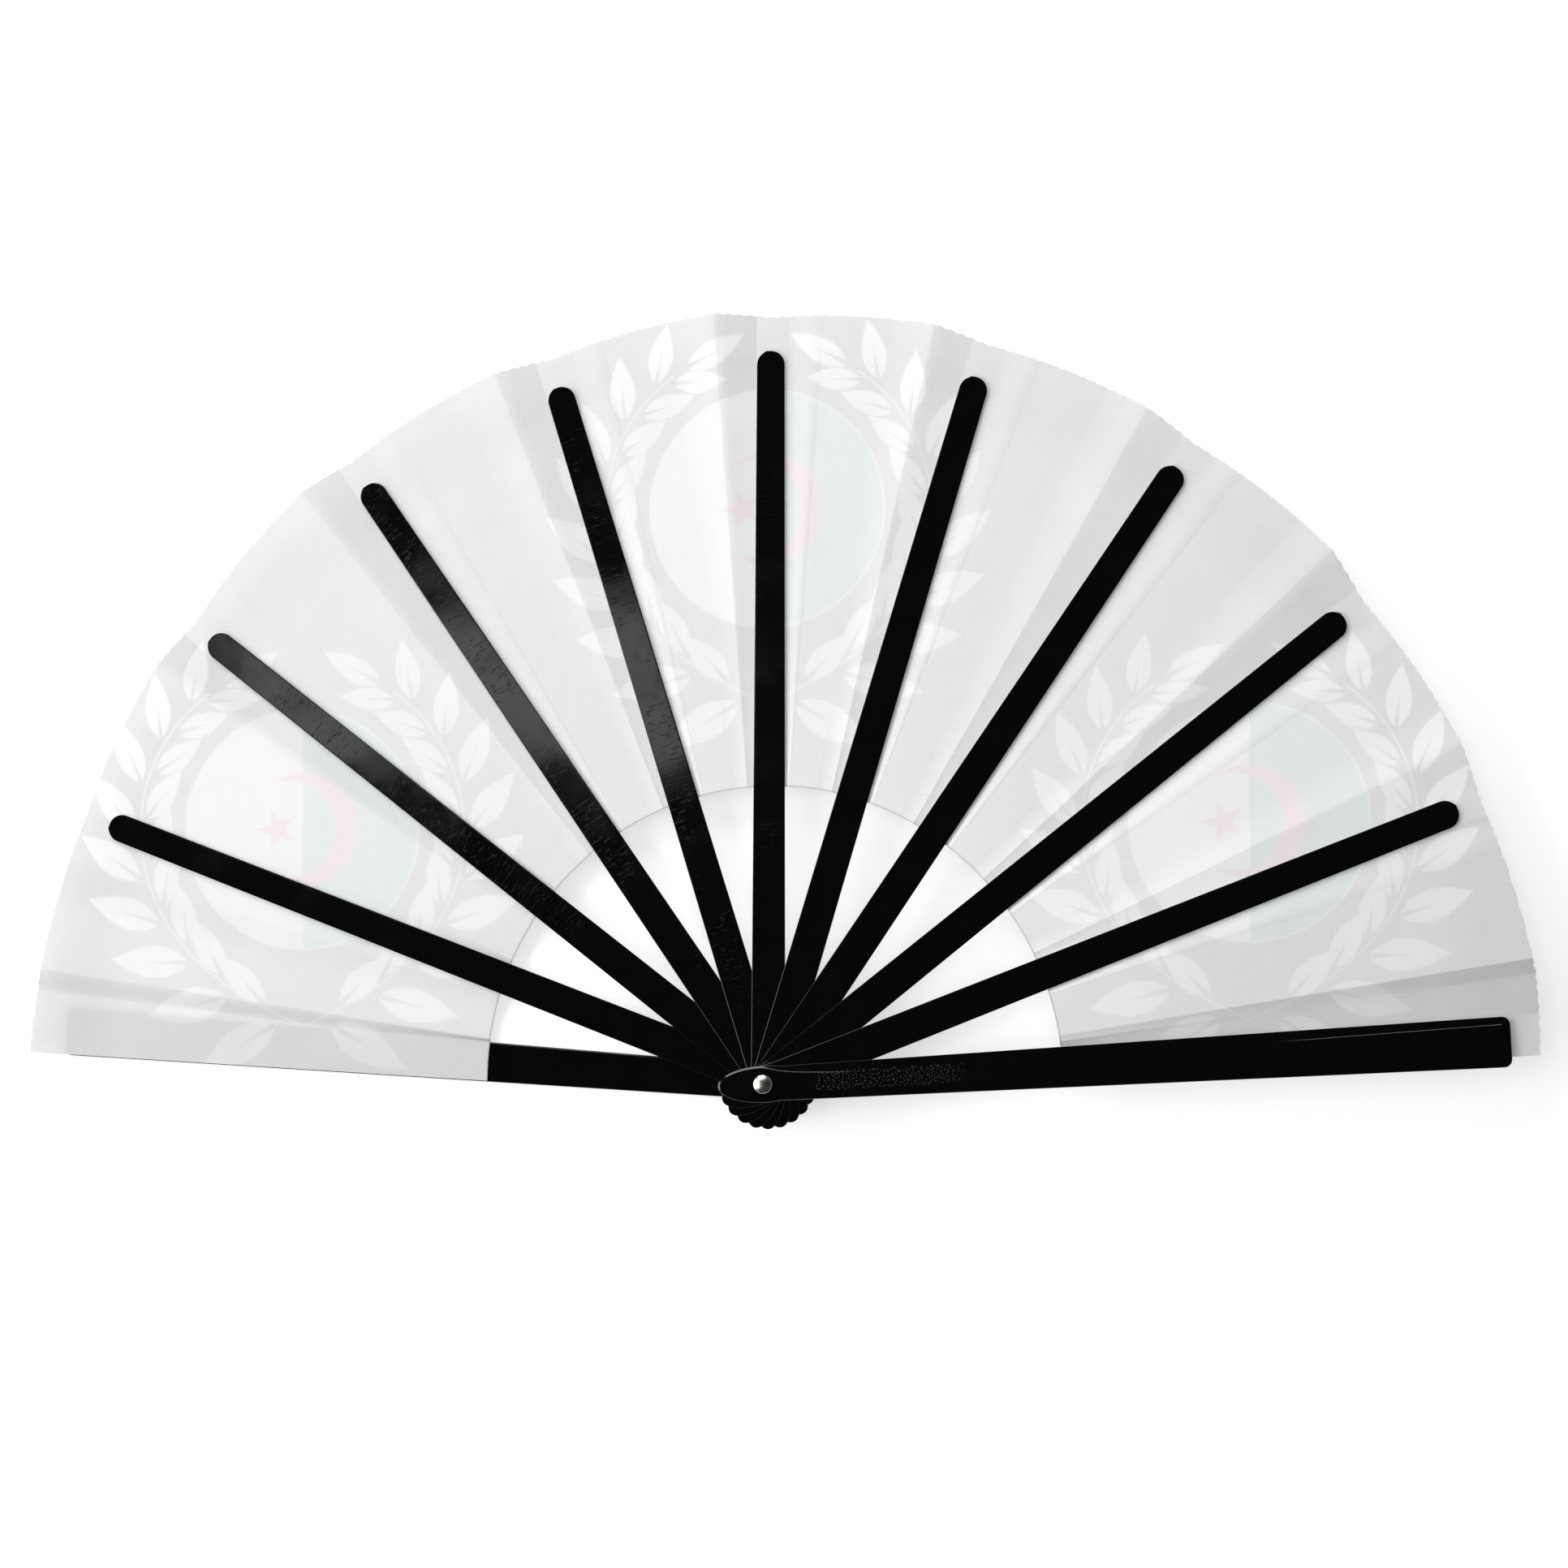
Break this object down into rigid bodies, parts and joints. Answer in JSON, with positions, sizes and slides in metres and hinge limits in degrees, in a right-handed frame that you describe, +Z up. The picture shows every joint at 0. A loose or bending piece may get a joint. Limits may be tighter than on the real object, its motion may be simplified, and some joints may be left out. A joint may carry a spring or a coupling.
{
  "type": "folding fan",
  "caption": "Open folding fan with flat plastic sticks turning on one rivet, two wider guards and a pleated cloth leaf.",
  "frame": {"origin": "the rivet's axis at the flat underside that the fan rests on", "axes": "+X to the front guard's side of the open fan, +Y out of the pivot through the middle rib, +Z up through the stack of sticks"},
  "size_m": [0.6477, 0.3433, 0.0333],
  "materials": {
    "black_plastic": "moulded black plastic, satin to glossy",
    "rivet_steel": "polished steel",
    "pale_cloth": "thin woven polyester, faint pale print"
  },
  "bodies": {
    "rear": {"rear_guard": "black_plastic", "rivet_post": "rivet_steel", "rivet_cap": "rivet_steel", "leaf_end_rear": "pale_cloth"},
    "rib_1": {"rib_1": "black_plastic", "leaf_panel_1": "pale_cloth"},
    "rib_2": {"rib_2": "black_plastic", "leaf_panel_2": "pale_cloth"},
    "rib_3": {"rib_3": "black_plastic", "leaf_panel_3": "pale_cloth"},
    "rib_4": {"rib_4": "black_plastic", "leaf_panel_4": "pale_cloth"},
    "rib_5": {"rib_5": "black_plastic", "leaf_panel_5": "pale_cloth"},
    "rib_6": {"rib_6": "black_plastic", "leaf_panel_6": "pale_cloth"},
    "rib_7": {"rib_7": "black_plastic", "leaf_panel_7": "pale_cloth"},
    "rib_8": {"rib_8": "black_plastic", "leaf_panel_8": "pale_cloth"},
    "rib_9": {"rib_9": "black_plastic", "leaf_panel_9": "pale_cloth"},
    "front": {"front_guard": "black_plastic", "leaf_end_front": "pale_cloth"},
    "fold_1": {"leaf_fold_1": "pale_cloth"},
    "fold_2": {"leaf_fold_2": "pale_cloth"},
    "fold_3": {"leaf_fold_3": "pale_cloth"},
    "fold_4": {"leaf_fold_4": "pale_cloth"},
    "fold_5": {"leaf_fold_5": "pale_cloth"},
    "fold_6": {"leaf_fold_6": "pale_cloth"},
    "fold_7": {"leaf_fold_7": "pale_cloth"},
    "fold_8": {"leaf_fold_8": "pale_cloth"},
    "fold_9": {"leaf_fold_9": "pale_cloth"},
    "fold_10": {"leaf_fold_10": "pale_cloth"}
  },
  "joints": [
    {"name": "front_guard_swing", "type": "hinge", "parent": "rear", "child": "front", "pos_m": [0, 0, 0.0278], "axis": [0, 0, 1], "range_deg": [0, 172.6]},
    {"name": "rib_1_swing", "type": "hinge", "parent": "rear", "child": "rib_1", "pos_m": [0, 0, 0.0053], "axis": [0, 0, 1], "range_deg": [0, 17]},
    {"name": "rib_2_swing", "type": "hinge", "parent": "rear", "child": "rib_2", "pos_m": [0, 0, 0.0078], "axis": [0, 0, 1], "range_deg": [0, 34]},
    {"name": "rib_3_swing", "type": "hinge", "parent": "rear", "child": "rib_3", "pos_m": [0, 0, 0.0103], "axis": [0, 0, 1], "range_deg": [0, 51.6]},
    {"name": "rib_4_swing", "type": "hinge", "parent": "rear", "child": "rib_4", "pos_m": [0, 0, 0.0128], "axis": [0, 0, 1], "range_deg": [0, 68.9]},
    {"name": "rib_5_swing", "type": "hinge", "parent": "rear", "child": "rib_5", "pos_m": [0, 0, 0.0153], "axis": [0, 0, 1], "range_deg": [0, 86.2]},
    {"name": "rib_6_swing", "type": "hinge", "parent": "rear", "child": "rib_6", "pos_m": [0, 0, 0.0178], "axis": [0, 0, 1], "range_deg": [0, 102.7]},
    {"name": "rib_7_swing", "type": "hinge", "parent": "rear", "child": "rib_7", "pos_m": [0, 0, 0.0203], "axis": [0, 0, 1], "range_deg": [0, 120]},
    {"name": "rib_8_swing", "type": "hinge", "parent": "rear", "child": "rib_8", "pos_m": [0, 0, 0.0228], "axis": [0, 0, 1], "range_deg": [0, 137.3]},
    {"name": "rib_9_swing", "type": "hinge", "parent": "rear", "child": "rib_9", "pos_m": [0, 0, 0.0253], "axis": [0, 0, 1], "range_deg": [0, 154.5]},
    {"name": "fold_1_crease", "type": "hinge", "parent": "rear", "child": "fold_1", "pos_m": [0, 0, 0.0044], "axis": [0.9888, -0.1494, 0], "range_deg": [0, 180], "deforming": ["leaf_fold_1"]},
    {"name": "fold_2_crease", "type": "hinge", "parent": "rib_1", "child": "fold_2", "pos_m": [0, 0, 0.0069], "axis": [0.9045, -0.4266, 0], "range_deg": [0, 180], "deforming": ["leaf_fold_2"]},
    {"name": "fold_3_crease", "type": "hinge", "parent": "rib_2", "child": "fold_3", "pos_m": [0, 0, 0.0094], "axis": [0.7385, -0.6743, 0], "range_deg": [0, 180], "deforming": ["leaf_fold_3"]},
    {"name": "fold_4_crease", "type": "hinge", "parent": "rib_3", "child": "fold_4", "pos_m": [0, 0, 0.0119], "axis": [0.5011, -0.8654, 0], "range_deg": [0, 180], "deforming": ["leaf_fold_4"]},
    {"name": "fold_5_crease", "type": "hinge", "parent": "rib_4", "child": "fold_5", "pos_m": [0, 0, 0.0144], "axis": [0.2211, -0.9752, 0], "range_deg": [0, 180], "deforming": ["leaf_fold_5"]},
    {"name": "fold_6_crease", "type": "hinge", "parent": "rib_5", "child": "fold_6", "pos_m": [0, 0, 0.0169], "axis": [-0.0754, -0.9972, 0], "range_deg": [0, 180], "deforming": ["leaf_fold_6"]},
    {"name": "fold_7_crease", "type": "hinge", "parent": "rib_6", "child": "fold_7", "pos_m": [0, 0, 0.0194], "axis": [-0.3588, -0.9334, 0], "range_deg": [0, 180], "deforming": ["leaf_fold_7"]},
    {"name": "fold_8_crease", "type": "hinge", "parent": "rib_7", "child": "fold_8", "pos_m": [0, 0, 0.0219], "axis": [-0.6201, -0.7845, 0], "range_deg": [0, 180], "deforming": ["leaf_fold_8"]},
    {"name": "fold_9_crease", "type": "hinge", "parent": "rib_8", "child": "fold_9", "pos_m": [0, 0, 0.0244], "axis": [-0.8251, -0.565, 0], "range_deg": [0, 180], "deforming": ["leaf_fold_9"]},
    {"name": "fold_10_crease", "type": "hinge", "parent": "rib_9", "child": "fold_10", "pos_m": [0, 0, 0.0269], "axis": [-0.9546, -0.298, 0], "range_deg": [0, 180], "deforming": ["leaf_fold_10"]}
  ],
  "couplings": [
    {"joint": "rib_1_swing", "follows": "front_guard_swing", "ratio": 0.098493},
    {"joint": "rib_2_swing", "follows": "front_guard_swing", "ratio": 0.19699},
    {"joint": "rib_3_swing", "follows": "front_guard_swing", "ratio": 0.29896},
    {"joint": "rib_4_swing", "follows": "front_guard_swing", "ratio": 0.39919},
    {"joint": "rib_5_swing", "follows": "front_guard_swing", "ratio": 0.49942},
    {"joint": "rib_6_swing", "follows": "front_guard_swing", "ratio": 0.59502},
    {"joint": "rib_7_swing", "follows": "front_guard_swing", "ratio": 0.69525},
    {"joint": "rib_8_swing", "follows": "front_guard_swing", "ratio": 0.79548},
    {"joint": "rib_9_swing", "follows": "front_guard_swing", "ratio": 0.89513},
    {"joint": "fold_1_crease", "follows": "front_guard_swing", "ratio": 1.0429},
    {"joint": "fold_2_crease", "follows": "front_guard_swing", "ratio": 1.0429},
    {"joint": "fold_3_crease", "follows": "front_guard_swing", "ratio": 1.0429},
    {"joint": "fold_4_crease", "follows": "front_guard_swing", "ratio": 1.0429},
    {"joint": "fold_5_crease", "follows": "front_guard_swing", "ratio": 1.0429},
    {"joint": "fold_6_crease", "follows": "front_guard_swing", "ratio": 1.0429},
    {"joint": "fold_7_crease", "follows": "front_guard_swing", "ratio": 1.0429},
    {"joint": "fold_8_crease", "follows": "front_guard_swing", "ratio": 1.0429},
    {"joint": "fold_9_crease", "follows": "front_guard_swing", "ratio": 1.0429},
    {"joint": "fold_10_crease", "follows": "front_guard_swing", "ratio": 1.0429}
  ]
}
